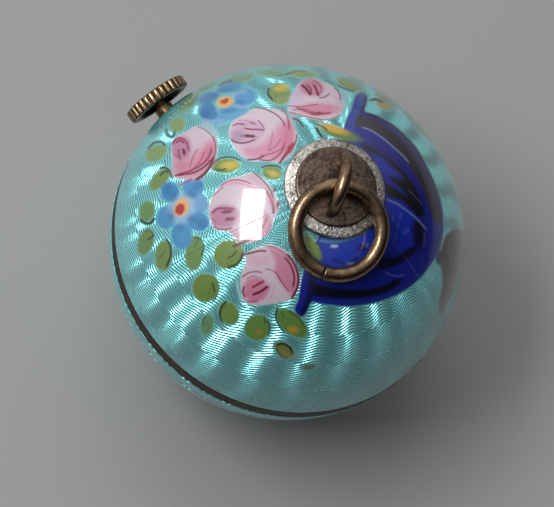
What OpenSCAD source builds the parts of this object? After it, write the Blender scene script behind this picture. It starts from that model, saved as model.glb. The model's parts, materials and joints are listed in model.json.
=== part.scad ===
// Ball-shaped hinged pill box, worn as a pendant. Millimetres. +Z runs up the pole through the pendant eye,
// -Y is the front with the catch crown, +Y the rear with the hinge. The origin is in the pendant's eye.

/* [Ball] */
// Outside diameter over the enamel
ball_d = 28; // [25:0.5:34]
// Thickness of the enamel on the metal
enamel_t = 0.35; // [0.3:0.05:0.45]
// Thickness of the spun metal shells
shell_t = 0.5; // [0.45:0.05:0.6]

/* [Seam] */
// Height of bare metal left on the cover's edge
cover_edge = 0.4; // [0.3:0.05:0.6]
// Height of bare metal left on the top of the band
band_edge = 1.1; // [0.95:0.05:1.3]
// Depth of the band, from the parting plane down to the bowl
band_h = 2.9; // [2.6:0.05:3.2]
// Width of the bare line between the band's enamel and the bowl's
line_w = 0.17; // [0.1:0.01:0.25]
// Gap between cover and band when shut
seam_gap = 0.06; // [0.04:0.01:0.1]

/* [Hinge] */
// Outside diameter of the hinge knuckles
knuckle_d = 0.7; // [0.6:0.02:0.86]
// Diameter of the hinge pin
pin_d = 0.36; // [0.3:0.02:0.44]
// Length over all three knuckles
hinge_l = 3.4; // [2.8:0.2:4.2]

/* [Pendant] */
// Diameter of the disc at the pole
boss_d = 7.96; // [7.4:0.1:9]
// Diameter of the raised cap on the disc
cap_d = 6.4; // [6:0.1:6.8]
// Wire diameter of the eye
eye_wire = 1; // [0.9:0.05:1.1]
// Width of the eye, between the centres of its legs
eye_w = 4.3; // [4.1:0.1:4.6]
// Direction in which the eye stands, from +X toward +Y
eye_turn = 32; // [20:1:45]
// Outside diameter of the jump ring
ring_d = 7.96; // [7.6:0.1:9]
// Wire diameter of the jump ring
ring_wire = 1.17; // [1:0.01:1.25]
// Direction in which the jump ring lies, from +X toward +Y
ring_turn = 48; // [40:1:55]

/* [Catch] */
// Diameter of the crown
crown_d = 5.3; // [4.6:0.1:6]
// Thickness of the crown's fluted rim
crown_h = 0.9; // [0.8:0.05:1.2]
// Number of flutes round the crown
flutes = 32; // [24:1:40]
// Angle by which the crown's stem leans off the radius
crown_lean = 7; // [0:1:8]
// Outside diameter of the stem's tube
tube_d = 1.5; // [1.3:0.1:1.7]
// Diameter of the stem
stem_d = 0.84; // [0.7:0.02:0.9]
// Travel of the crown when pressed
press = 0.5; // [0.45:0.05:0.55]

/* [Hidden] */
$fn = 96;
ball_r = ball_d / 2;
shell_r = ball_r - enamel_t;       // outside of the metal shells
inner_r = shell_r - shell_t;       // inside of the metal shells
rim_r = ball_r - 0.1;              // bare edges, a little below the enamel
collar_r = inner_r - 0.07;         // cover rim's collar, outside
collar_in = inner_r - 0.39;        // and inside: the ledge that the catch holds
lip_r = collar_in - 0.06;          // band's locating lip, outside
band_in = lip_r - 0.3;             // band's bore
half_gap = seam_gap / 2;
collar_top = 1.2;
lip_top = 0.5;
skirt_z = -band_h - 0.5;           // lower end of the band's skirt inside the bowl
skirt_r = sqrt(inner_r * inner_r - skirt_z * skirt_z) - 0.03;

hinge_y = shell_r;                 // knuckles come out level with the enamel
hinge_clear = 0.06;                // round a knuckle, in the other half
hinge_over = pow(knuckle_d / 2, 2) - pow(cover_edge, 2); // above 0 if the knuckles pass the bare edge
// Slope of the two edges behind the hinge line, so that they clear; steeper if the knuckles reach past
relief = hinge_over < 0 ? 55 : atan2(cover_edge, half_gap + max(sqrt(hinge_over) - 0.02, 0));
knuckle_gap = 0.1;                 // between neighbouring knuckles
mid_l = 0.34 * hinge_l;
pin_clear = 0.03;

plate_r = ball_r + 0.35;           // top of the disc, as a sphere
cap_top = ball_r + 0.55;           // top of the cap at the pole
cap_curve = 16;                    // radius of the cap's top
plate_seat = boss_d / 2 - 0.48;    // disc's spigot, through the enamel
backing_z = inner_r - 0.7;         // flat inner face of the backing
backing_r = eye_w / 2 + 1.05;
leg_head_r = eye_wire / 2 + 0.3;   // legs headed over on the backing
leg_head_t = 0.3;
eye_z = cap_top + ring_wire / 2 + 0.225;
arch_r = eye_w / 2;
arch_z = max(eye_z + ring_wire / 2 + 0.1 + eye_wire / 2 - arch_r, plate_r);

ring_r = (ring_d - ring_wire) / 2; // to the centre of the wire
ring_in_eye = 0.28;                // wire's centre off the pole, inside the eye
ring_rest = ball_r + ring_wire / 2 + 0.04;
near2 = ring_in_eye * ring_in_eye + eye_z * eye_z;
fall = (ring_rest * ring_rest - near2 - 4 * ring_r * ring_r) / (4 * ring_r);
ring_tilt = acos(fall / sqrt(near2)) - atan2(eye_z, ring_in_eye);
split_w = 0.12;
split_at = -17;                    // direction of the split from the side away from the eye
split_lean = 12;

stem_at = ball_r + 0.6;            // the lean turns about this radius
tube_out = -0.2;                   // tube's outer end, along the stem from there
tube_in = band_in - stem_at;
stem_in = tube_in - 0.2;
crown_in = 0.15;
crown_hollow = 0.4;                // depth of the recess under the crown
crown_wall = 0.7;                  // and the rim round it
crown_dome = 0.22;
crown_curve = 16;
flute_r = PI * crown_d / flutes / 3;
flute_out = 0.06;                  // flute's centre, outside the crown
stem_head_r = stem_d / 2 + 0.28;
stem_head_t = 0.2;
stem_head_sink = 0.07;             // how far the head is let into the crown
notch_r = tube_d / 2 + 0.15;
clip_t = 0.14;

spring_t = 0.27;                   // thickness of both flat springs
spring_out = band_in - 0.32;
spring_in = spring_out - spring_t;
spring_bottom = -1.25;
spring_top = -0.15;
foot_r = 0.75;                     // round the foot of a spring
foot_w = 0.8;                      // and the strip from it
foot_back = 4;                     // how far a spring runs on behind its foot
screw_at = band_in - 1.35;         // radius of both screws
lock_foot = 222;                   // directions of the springs' feet and ends
nose_from = 258.5;
nose_to = 265.5;
lock_end = 276;
nose_top = 0.95;
nose_low = 0.5;
nose_r = collar_in + 0.22;
lift_foot = 30;
tongue_from = 62;
tongue_to = 70;
tongue_low = -0.42;
tongue_top = -0.12;
lap = 0.04;                        // nose wider than its strip, each side
screw_r = 0.35;
head_r = 0.6;
head_t = 0.3;
slot_w = 0.18;
shelf_top = spring_bottom - 0.02;   // hair of clearance under and over a spring's foot
head_z = spring_bottom + spring_t + 0.02;
shelf_t = 0.85;
shelf_w = 2.2;
hinge_gap = asin((hinge_l / 2 + 0.9) / lip_r); // half of the lip's gap at the hinge
through = 5;                       // length of small cutters, and 1 before their work
far = 2 * ball_d;

// From the ball's centre to the origin in the eye
module hung() translate([0, 0, -eye_z]) children();

// Along the stem: +Z of the children points outward
module on_stem() translate([0, -stem_at, 0]) rotate([0, 0, -crown_lean]) rotate([90, 0, 0]) children();

module above(z) translate([-far / 2, -far / 2, z]) cube(far);
module below(z) translate([-far / 2, -far / 2, z - far]) cube(far);

// Part of a ring, by its radii, directions and heights
module arc(r0, r1, a0, a1, z0, z1)
    rotate([0, 0, a0]) rotate_extrude(angle = a1 - a0) translate([r0, z0]) square([r1 - r0, z1 - z0]);

// Cylinder along the hinge, from x0 to x1
module on_hinge(r, x0, x1) translate([x0, hinge_y, 0]) rotate([0, 90, 0]) cylinder(r = r, h = x1 - x0);

// What the outer knuckles and the middle one occupy, with r round the hinge line
module outer_knuckles(r, ease) {
    on_hinge(r, -hinge_l / 2 - ease, -mid_l / 2 - knuckle_gap + ease);
    on_hinge(r, mid_l / 2 + knuckle_gap - ease, hinge_l / 2 + ease);
}
module middle_knuckle(r, ease) on_hinge(r, -mid_l / 2 - ease, mid_l / 2 + ease);

// Groove across the enamel and shell for the whole hinge
module hinge_groove() on_hinge(knuckle_d / 2 + hinge_clear, -hinge_l / 2 - 0.05, hinge_l / 2 + 0.05);

// Both halves slope away outside the hinge line, so that they don't meet as the box opens
module hinge_relief() translate([-ball_r / 2, hinge_y - half_gap, 0]) rotate([90, 0, 90])
    linear_extrude(ball_r) polygon([[0, 0], [1, tan(relief)], [1, -tan(relief)]]);

// Room for the stem's tube in the cover
module stem_notch() on_stem() translate([0, 0, tube_in - 1]) cylinder(r = notch_r, h = through);

// The eye's two legs
module legs(r, z0, z1)
    rotate([0, 0, eye_turn]) for (s = [-1, 1]) translate([s * arch_r, 0, z0]) cylinder(r = r, h = z1 - z0);

module shell_part(r_out, r_in) difference() {
    sphere(r = r_out);
    sphere(r = r_in);
}

module cover_shell() color("darkkhaki") hung() difference() {
    shell_part(shell_r, inner_r);
    below(cover_edge);
    legs(eye_wire / 2, 0, ball_r);
    hinge_groove();
    hinge_relief();
    stem_notch();
}

module cover_enamel() color("mediumturquoise") hung() difference() {
    shell_part(ball_r, shell_r);
    below(cover_edge);
    cylinder(r = plate_seat, h = far);
    hinge_groove();
    hinge_relief();
    stem_notch();
}

// Turned ring in the cover's edge, with the collar and ledge inside
module cover_rim() color("saddlebrown") hung() difference() {
    union() {
        arc(collar_in, rim_r, 0, 360, half_gap, cover_edge);
        arc(collar_in, collar_r, 0, 360, half_gap, collar_top);
    }
    outer_knuckles(knuckle_d / 2 + hinge_clear, 0.05);
    middle_knuckle(knuckle_d / 2, 0.05);
    hinge_relief();
    stem_notch();
    arc(collar_in - 0.1, collar_r + 0.05, nose_from - 1, nose_to + 1, nose_low - 0.05, nose_top + 0.1);
}

module cover_knuckle() color("peru") hung() difference() {
    middle_knuckle(knuckle_d / 2, 0);
    middle_knuckle(pin_d / 2 + pin_clear, 0.1);
}

// Disc soldered over the pole, its spigot through the enamel
module boss_plate() color("silver") hung() difference() {
    intersection() {
        sphere(r = plate_r);
        union() {
            difference() {
                cylinder(r = boss_d / 2, h = far);
                sphere(r = ball_r);
            }
            cylinder(r = plate_seat, h = far);
        }
    }
    sphere(r = shell_r);
    legs(eye_wire / 2, 0, far);
}

module boss_cap() color("dimgray") hung() difference() {
    intersection() {
        cylinder(r = cap_d / 2, h = far);
        translate([0, 0, cap_top - cap_curve]) sphere(r = cap_curve);
    }
    sphere(r = plate_r);
    legs(eye_wire / 2 + 0.03, 0, far);
}

// Wire arch, its legs headed over inside the cover
module pendant_eye() color("goldenrod") hung() {
    rotate([0, 0, eye_turn]) translate([0, 0, arch_z]) rotate([90, 0, 0])
        rotate_extrude(angle = 180) translate([arch_r, 0]) circle(d = eye_wire);
    legs(eye_wire / 2, backing_z - leg_head_t, arch_z);
    legs(leg_head_r, backing_z - leg_head_t, backing_z);
}

module eye_backing() color("tan") hung() difference() {
    intersection() {
        translate([0, 0, backing_z]) cylinder(r = backing_r, h = far);
        sphere(r = inner_r);
    }
    legs(eye_wire / 2 + 0.02, 0, far);
}

// Split wire ring, lying against the ball
module jump_ring() color("darkgoldenrod") hung()
    rotate([0, 0, ring_turn]) translate([ring_in_eye, 0, eye_z]) rotate([0, ring_tilt, 0])
        translate([ring_r, 0, 0]) difference() {
            rotate_extrude() translate([ring_r, 0]) circle(d = ring_wire);
            rotate([0, 0, split_at]) translate([ring_r, 0, 0]) rotate([split_lean, 0, 0])
                cube([2 * ring_wire, split_w, 2 * ring_wire], center = true);
        }

// Band under the seam: locating lip above, skirt below, shelves for the springs
module band_ring() color("sienna") hung() difference() {
    union() {
        arc(band_in, rim_r, 0, 360, -band_edge, -half_gap);
        intersection() {
            arc(band_in, ball_r, 0, 360, -band_h, -half_gap);
            sphere(r = shell_r);
        }
        arc(band_in, lip_r, 0, 360, -band_edge, lip_top);
        arc(band_in, skirt_r, 0, 360, skirt_z, -band_h);
        for (a = [lock_foot, lift_foot]) rotate([0, 0, a])
            translate([screw_at - foot_r, -shelf_w / 2, shelf_top - shelf_t])
                cube([band_in + 0.1 - screw_at + foot_r, shelf_w, shelf_t]);
    }
    arc(band_in - 0.1, lip_r + 0.1, 90 - hinge_gap, 90 + hinge_gap, -half_gap, lip_top + 0.1);
    arc(band_in - 0.1, lip_r + 0.1, nose_from - 2.5, lock_end + 10, -half_gap, lip_top + 0.1);
    arc(band_in - 0.1, collar_r + 0.1, tongue_from - 1.5, tongue_to + 1.5, tongue_low - 0.18, lip_top + 0.1);
    middle_knuckle(knuckle_d / 2 + hinge_clear, 0.05);
    outer_knuckles(knuckle_d / 2, 0.05);
    hinge_relief();
    on_stem() translate([0, 0, tube_in - 1]) cylinder(d = tube_d, h = through);
    for (a = [lock_foot, lift_foot]) rotate([0, 0, a]) translate([screw_at, 0, -through])
        cylinder(r = screw_r, h = through);
}

module band_enamel() color("lightseagreen") hung() difference() {
    shell_part(ball_r, shell_r);
    above(-band_edge);
    below(-band_h + line_w);
    stem_notch();
}

module bowl_shell() color("khaki") hung() difference() {
    shell_part(shell_r, inner_r);
    above(-band_h);
}

module bowl_enamel() color("turquoise") hung() difference() {
    shell_part(ball_r, shell_r);
    above(-band_h);
}

module band_knuckles() color("chocolate") hung() difference() {
    outer_knuckles(knuckle_d / 2, 0);
    on_hinge(pin_d / 2, -hinge_l, hinge_l);
}

module hinge_pin() color("gray") hung() on_hinge(pin_d / 2, -hinge_l / 2, hinge_l / 2);

module stem_tube() color("orange") hung() on_stem() difference() {
    translate([0, 0, tube_in]) cylinder(d = tube_d, h = tube_out - tube_in);
    translate([0, 0, tube_in - 1]) cylinder(r = stem_d / 2 + 0.04, h = through);
}

// Fluted knob, hollow underneath, that turns on the head of its stem
module crown() color("gold") hung() on_stem() difference() {
    intersection() {
        translate([0, 0, crown_in]) cylinder(d = crown_d, h = crown_h + crown_dome);
        translate([0, 0, crown_in + crown_h + crown_dome - crown_curve]) sphere(r = crown_curve);
    }
    translate([0, 0, crown_in - 1]) cylinder(r = crown_d / 2 - crown_wall, h = 1 + crown_hollow);
    cylinder(r = stem_d / 2 + 0.02, h = through);
    translate([0, 0, crown_in + crown_h - stem_head_sink - 0.03])
        cylinder(r = stem_head_r + 0.04, h = through);
    for (i = [0:flutes - 1]) rotate([0, 0, i * 360 / flutes]) translate([crown_d / 2 + flute_out, 0, 0])
        cylinder(r = flute_r, h = through, $fn = 24);
}

module crown_stem() color("lightgray") hung() on_stem() {
    translate([0, 0, stem_in]) cylinder(d = stem_d, h = crown_in + crown_h - stem_in);
    translate([0, 0, crown_in + crown_h - stem_head_sink]) cylinder(r = stem_head_r, h = stem_head_t);
}

module stem_clip() color("slategray") hung() on_stem() difference() {
    translate([0, 0, tube_in - clip_t - 0.02]) cylinder(d = tube_d - 0.1, h = clip_t);
    translate([0, 0, tube_in - 1]) cylinder(d = stem_d, h = 2);
}

// Foot of a flat spring, with its screw hole
module spring_foot(a) rotate([0, 0, a]) difference() {
    union() {
        translate([screw_at, 0, spring_bottom]) cylinder(r = foot_r, h = spring_t);
        translate([screw_at, -foot_w / 2, spring_bottom])
            cube([spring_in + spring_t / 2 - screw_at, foot_w, spring_t]);
    }
    translate([screw_at, 0, -through]) cylinder(r = screw_r + 0.02, h = through);
}

// Nose of a flat spring: up from the strip to top, and outward to r above low
module spring_nose(from, to, r, low, top) rotate([0, 0, from]) rotate_extrude(angle = to - from) polygon([
    [spring_in - lap, spring_bottom + 0.15], [spring_out + lap, spring_bottom + 0.15],
    [spring_out + lap, low], [r, low], [r, top], [spring_in - lap, top]]);

// Flat spring whose nose holds the cover's ledge until the stem pushes it in
module lock_spring() color("steelblue") hung() {
    spring_foot(lock_foot);
    arc(spring_in, spring_out, lock_foot - foot_back, lock_end, spring_bottom + 0.05, spring_top);
    spring_nose(nose_from, nose_to, nose_r, nose_low, nose_top);
}

// Flat spring whose tongue lies under the cover's rim and throws it open
module lift_spring() color("cadetblue") hung() {
    spring_foot(lift_foot);
    arc(spring_in, spring_out, lift_foot - foot_back, tongue_to + 1, spring_bottom + 0.05, tongue_low - 0.08);
    spring_nose(tongue_from, tongue_to, collar_r - 0.05, tongue_low, tongue_top);
}

module spring_screws() color("lightsteelblue") hung()
    for (a = [lock_foot, lift_foot]) rotate([0, 0, a]) translate([screw_at, 0, 0]) difference() {
        union() {
            translate([0, 0, shelf_top - shelf_t]) cylinder(r = screw_r, h = head_z - shelf_top + shelf_t);
            translate([0, 0, head_z]) cylinder(r = head_r, h = head_t);
        }
        translate([-1, -slot_w / 2, head_z + head_t / 2]) cube([2, slot_w, 1]);
    }

cover_shell();
cover_enamel();
cover_rim();
cover_knuckle();
boss_plate();
boss_cap();
pendant_eye();
eye_backing();
jump_ring();
band_ring();
band_enamel();
bowl_shell();
bowl_enamel();
band_knuckles();
hinge_pin();
stem_tube();
crown();
crown_stem();
stem_clip();
lock_spring();
lift_spring();
spring_screws();
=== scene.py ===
import bpy, json, math
import numpy as np
from mathutils import Matrix, Vector


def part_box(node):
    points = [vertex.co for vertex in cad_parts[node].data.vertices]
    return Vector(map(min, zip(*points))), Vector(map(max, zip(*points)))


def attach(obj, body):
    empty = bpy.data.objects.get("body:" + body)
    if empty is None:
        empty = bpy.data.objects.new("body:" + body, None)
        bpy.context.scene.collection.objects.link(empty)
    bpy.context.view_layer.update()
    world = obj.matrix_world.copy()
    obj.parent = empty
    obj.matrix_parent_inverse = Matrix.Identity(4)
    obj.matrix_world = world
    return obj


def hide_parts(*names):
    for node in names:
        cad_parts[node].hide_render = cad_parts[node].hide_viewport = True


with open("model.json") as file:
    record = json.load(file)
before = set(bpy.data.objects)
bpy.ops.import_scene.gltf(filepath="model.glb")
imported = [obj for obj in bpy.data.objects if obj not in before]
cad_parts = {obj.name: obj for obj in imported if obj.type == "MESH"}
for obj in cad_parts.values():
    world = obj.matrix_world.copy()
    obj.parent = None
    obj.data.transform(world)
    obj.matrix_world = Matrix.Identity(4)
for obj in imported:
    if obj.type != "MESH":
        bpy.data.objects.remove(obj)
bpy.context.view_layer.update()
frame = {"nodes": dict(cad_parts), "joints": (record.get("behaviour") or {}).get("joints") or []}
nodes = frame["nodes"]
joints = {j["name"]: j for j in frame["joints"]}

# The ball's centre is on the hinge's plane, and every turned piece is round the pole above it.
# Each is made here as rows of points swept round that pole, in millimetres from the centre.
mm = 0.001
centre = Vector((0, 0, joints["box_hinge"]["pos_m"][2]))
ball_r = (centre.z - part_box("bowl_enamel")[0].z) / mm


def mesh_object(name, points, faces, body, slot, material, *replaced):
    mesh = bpy.data.meshes.new(name)
    points = np.asarray(points, float)
    faces = [np.asarray(f, np.int64) for f in (faces if isinstance(faces, list) else [faces])]
    starts, lengths, total = [], [], 0
    for f in faces:
        starts.append(total + np.arange(len(f)) * f.shape[1])
        lengths.append(np.full(len(f), f.shape[1]))
        total += f.size
    mesh.vertices.add(len(points))
    mesh.vertices.foreach_set("co", (points * mm + np.array(centre)).astype(np.float32).ravel())
    mesh.loops.add(total)
    mesh.loops.foreach_set("vertex_index", np.concatenate([f.ravel() for f in faces]).astype(np.int32))
    mesh.polygons.add(sum(len(f) for f in faces))
    mesh.polygons.foreach_set("loop_start", np.concatenate(starts).astype(np.int32))
    mesh.polygons.foreach_set("loop_total", np.concatenate(lengths).astype(np.int32))
    mesh.update(calc_edges=True)
    mesh.validate()
    mesh.materials.append(material)
    mesh.shade_smooth()
    o = bpy.data.objects.new(name, mesh)
    bpy.context.scene.collection.objects.link(o)
    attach(o, body)
    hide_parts(*replaced)
    return o


def grid_faces(rows, columns, wrap_rows, wrap_columns):
    r = np.arange(rows if wrap_rows else rows - 1)
    c = np.arange(columns if wrap_columns else columns - 1)
    i, j = np.meshgrid(r, c, indexing="ij")
    i2, j2 = (i + 1) % rows, (j + 1) % columns
    corners = [i * columns + j, i2 * columns + j, i2 * columns + j2, i * columns + j2]
    return np.stack(corners, -1).reshape(-1, 4)


def arc_points(radius, from_deg, to_deg, count):
    a = np.radians(np.linspace(from_deg, to_deg, count))
    return np.stack([radius * np.sin(a), radius * np.cos(a)], 1)


# Ground of the enamel: translucent turquoise glass fused over engine-turned metal. The lines run round
# the pole in waves and step sideways every eleven lines, so they glitter in rays; the glass is smooth.
def new_material(name):
    m = bpy.data.materials.new(name)
    m.use_nodes = True
    tree = m.node_tree
    shader = tree.nodes["Principled BSDF"]
    return m, tree, shader


def math_node(tree, op, a, b=None, c=None):
    n = tree.nodes.new("ShaderNodeMath")
    n.operation = op
    for i, v in enumerate((a, b, c)):
        if v is None:
            continue
        if isinstance(v, (int, float)):
            n.inputs[i].default_value = v
        else:
            tree.links.new(v, n.inputs[i])
    return n.outputs[0]


def mix_colour(tree, amount, a, b):
    n = tree.nodes.new("ShaderNodeMix")
    n.data_type = "RGBA"
    for i, v in ((0, amount), (6, a), (7, b)):
        if isinstance(v, (int, float, tuple)):
            n.inputs[i].default_value = v if not isinstance(v, tuple) else (*v, 1)
        else:
            tree.links.new(v, n.inputs[i])
    return n.outputs[2]


def from_centre(tree):
    coordinates = tree.nodes.new("ShaderNodeTexCoord")
    shift = tree.nodes.new("ShaderNodeVectorMath")
    shift.operation = "MULTIPLY_ADD"
    shift.inputs[1].default_value = (1 / mm,) * 3
    shift.inputs[2].default_value = tuple(-centre / mm)
    tree.links.new(coordinates.outputs["Object"], shift.inputs[0])
    split = tree.nodes.new("ShaderNodeSeparateXYZ")
    tree.links.new(shift.outputs[0], split.inputs[0])
    return shift.outputs[0], split.outputs


def out_from_pole(tree, px, py):
    squares = math_node(tree, "ADD", math_node(tree, "MULTIPLY", px, px),
                        math_node(tree, "MULTIPLY", py, py))
    return math_node(tree, "SQRT", squares)


def noise(tree, place, scale, detail=3.0, rough=0.55):
    n = tree.nodes.new("ShaderNodeTexNoise")
    n.inputs["Scale"].default_value = scale
    n.inputs["Detail"].default_value = detail
    n.inputs["Roughness"].default_value = rough
    tree.links.new(place, n.inputs["Vector"])
    return n.outputs["Fac"]


line_pitch = 0.265                        # millimetres from one engraved line to the next
wave_lobes = 24                           # waves in a full turn round the pole
wave_height = 0.3
wave_start = 1.55                         # phase of the first step, in radians
step_shift = -0.84                        # and how much every other step is turned
lines_in_step = 11
groove_depth = 0.085

enamel, tree, shader = new_material("turquoise_enamel")
place, (px, py, pz) = from_centre(tree)
out = out_from_pole(tree, px, py)
down = math_node(tree, "MULTIPLY", math_node(tree, "ARCTAN2", out, pz), ball_r)
round_pole = math_node(tree, "ARCTAN2", py, px)
step = math_node(tree, "FLOOR", math_node(tree, "DIVIDE", down, line_pitch * lines_in_step))
odd = math_node(tree, "MODULO", math_node(tree, "ADD", step, 1.0), 2.0)
swing = math_node(tree, "ADD", math_node(tree, "MULTIPLY_ADD", round_pole, wave_lobes, wave_start),
                  math_node(tree, "MULTIPLY", odd, step_shift))
wave = math_node(tree, "MULTIPLY", math_node(tree, "SINE", swing), wave_height)
turns = math_node(tree, "MULTIPLY", math_node(tree, "ADD", down, wave), 2 * math.pi / line_pitch)
ridge = math_node(tree, "SINE", turns)
height = math_node(tree, "MULTIPLY_ADD", ridge, 0.5, 0.5)
paint = tree.nodes.new("ShaderNodeAttribute")
paint.attribute_name = "paint"
bare = math_node(tree, "SUBTRACT", 1.0, paint.outputs["Alpha"])
bump = tree.nodes.new("ShaderNodeBump")
bump.inputs["Distance"].default_value = groove_depth * mm
tree.links.new(height, bump.inputs["Height"])
tree.links.new(bare, bump.inputs["Strength"])
tree.links.new(bump.outputs[0], shader.inputs["Normal"])
mottle = noise(tree, place, 0.35, 2.0)
ground = mix_colour(tree, mottle, (0.20, 0.66, 0.70), (0.27, 0.80, 0.82))
tree.links.new(mix_colour(tree, paint.outputs["Alpha"], ground, paint.outputs["Color"]),
               shader.inputs["Base Color"])
tree.links.new(math_node(tree, "MULTIPLY", bare, 0.82), shader.inputs["Metallic"])
shader.inputs["Roughness"].default_value = 0.26
shader.inputs["Coat Weight"].default_value = 1.0
shader.inputs["Coat Roughness"].default_value = 0.03
shader.inputs["Coat IOR"].default_value = 1.5


# Cover's enamel, in three sectors so that each stays small. The flowers are painted on its front in
# opaque enamel colours. The painter works on a flat view of the ball, s to the right and t up, in mm.
right = np.array((-0.68974, 0.67476, 0.2626))
up = np.array((-0.60864, -0.73677, 0.2945))
back = np.array((0.39219, 0.0433, 0.91886))
view_distance = 25.0                      # in ball radii


def painters_plane(points):
    p = points / np.linalg.norm(points, axis=1)[:, None]
    depth = view_distance - p @ back
    s = ball_r * view_distance * (p @ right) / depth
    t = ball_r * view_distance * (p @ up) / depth
    return s, t, (p @ back) > 0.05


def linear(colour):
    v = np.array(colour, float) / 255
    return 0.62 * np.where(v <= 0.04045, v / 12.92, ((v + 0.055) / 1.055) ** 2.4)


def smooth_line(points, closed=False, each=6):
    p = np.array(points, float)
    n = len(p)
    if n < 3 and not closed:
        return p
    result = []
    for i in range(n if closed else n - 1):
        a, b, c, d = (p[(i + k) % n] if closed else p[min(max(i + k, 0), n - 1)] for k in (-1, 0, 1, 2))
        for u in np.arange(each) / each:
            result.append(0.5 * (2 * b + (c - a) * u + (2 * a - 5 * b + 4 * c - d) * u * u
                                 + (3 * b - a - 3 * c + d) * u ** 3))
    if not closed:
        result.append(p[-1])
    return np.array(result)


class Painting:
    def __init__(self, points):
        self.s, self.t, self.seen = painters_plane(points)
        self.colour = np.zeros((len(points), 3))
        self.cover = np.zeros(len(points))

    def pick(self, low, high, margin):
        return np.nonzero(self.seen & (self.s > low[0] - margin) & (self.s < high[0] + margin)
                          & (self.t > low[1] - margin) & (self.t < high[1] + margin))[0]

    def lay(self, i, amount, colour):
        a = np.clip(amount, 0, 1)
        old = self.cover[i] * (1 - a)
        total = np.maximum(a + old, 1e-9)
        self.colour[i] = (self.colour[i] * old[:, None] + linear(colour) * a[:, None]) / total[:, None]
        self.cover[i] = a + old

    def dab(self, s, t, long, short, turn, colour, soft=0.12, strength=1.0):
        reach = max(long, short)
        i = self.pick((s - reach, t - reach), (s + reach, t + reach), soft * 2)
        c, k = math.cos(math.radians(turn)), math.sin(math.radians(turn))
        x, y = self.s[i] - s, self.t[i] - t
        q = np.sqrt(((x * c + y * k) / long) ** 2 + ((y * c - x * k) / short) ** 2)
        d = (q - 1) * min(long, short)
        d = d + 0.03 * np.sin(9 * self.s[i] + 5 * self.t[i]) * np.sin(11 * self.t[i] - 4 * self.s[i])
        self.lay(i, strength * ramp(-d / soft), colour)

    def stroke(self, points, width, colour, soft=0.045, strength=1.0, tail=0.25):
        p = smooth_line(points)
        n = len(p)
        u = np.linspace(0, 1, n)
        w = width / 2 * np.clip(tail + 1.4 * np.sqrt(np.clip(np.sin(np.pi * u), 0, 1)), 0, 1)
        i = self.pick(p.min(0), p.max(0), width + soft * 2)
        best = np.full(len(i), 9.0)
        x = np.stack([self.s[i], self.t[i]], 1)
        for k in range(n - 1):
            e = p[k + 1] - p[k]
            f = np.clip(((x - p[k]) @ e) / max(e @ e, 1e-9), 0, 1)
            d = np.linalg.norm(x - p[k] - f[:, None] * e, axis=1) - (w[k] + (w[k + 1] - w[k]) * f)
            best = np.minimum(best, d)
        self.lay(i, strength * ramp(-best / soft), colour)

    def fill(self, points, colour, soft=0.09, strength=1.0):
        p = smooth_line(points, closed=True)
        i = self.pick(p.min(0), p.max(0), soft * 2)
        x = np.stack([self.s[i], self.t[i]], 1)
        inside = np.zeros(len(i), bool)
        best = np.full(len(i), 9.0)
        for k in range(len(p)):
            a, b = p[k], p[(k + 1) % len(p)]
            e = b - a
            f = np.clip(((x - a) @ e) / max(e @ e, 1e-9), 0, 1)
            best = np.minimum(best, np.linalg.norm(x - a - f[:, None] * e, axis=1))
            crosses = (a[1] > x[:, 1]) != (b[1] > x[:, 1])
            if abs(b[1] - a[1]) > 1e-12:
                inside ^= crosses & (x[:, 0] < (b[0] - a[0]) * (x[:, 1] - a[1]) / (b[1] - a[1]) + a[0])
        d = np.where(inside, -best, best)
        self.lay(i, strength * ramp(-d / soft), colour)


def ramp(x):
    v = np.clip(0.5 + 0.5 * x, 0, 1)
    return v * v * (3 - 2 * v)


# Roses: pale petals laid first, a pink wash on the shaded side, then crimson and wine-red brush lines.
pale, blush, pink = (216, 197, 210), (218, 168, 190), (206, 124, 154)
mauve, crimson, wine = (190, 118, 158), (150, 34, 80), (108, 12, 48)
grey_line = (92, 58, 82)


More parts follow.
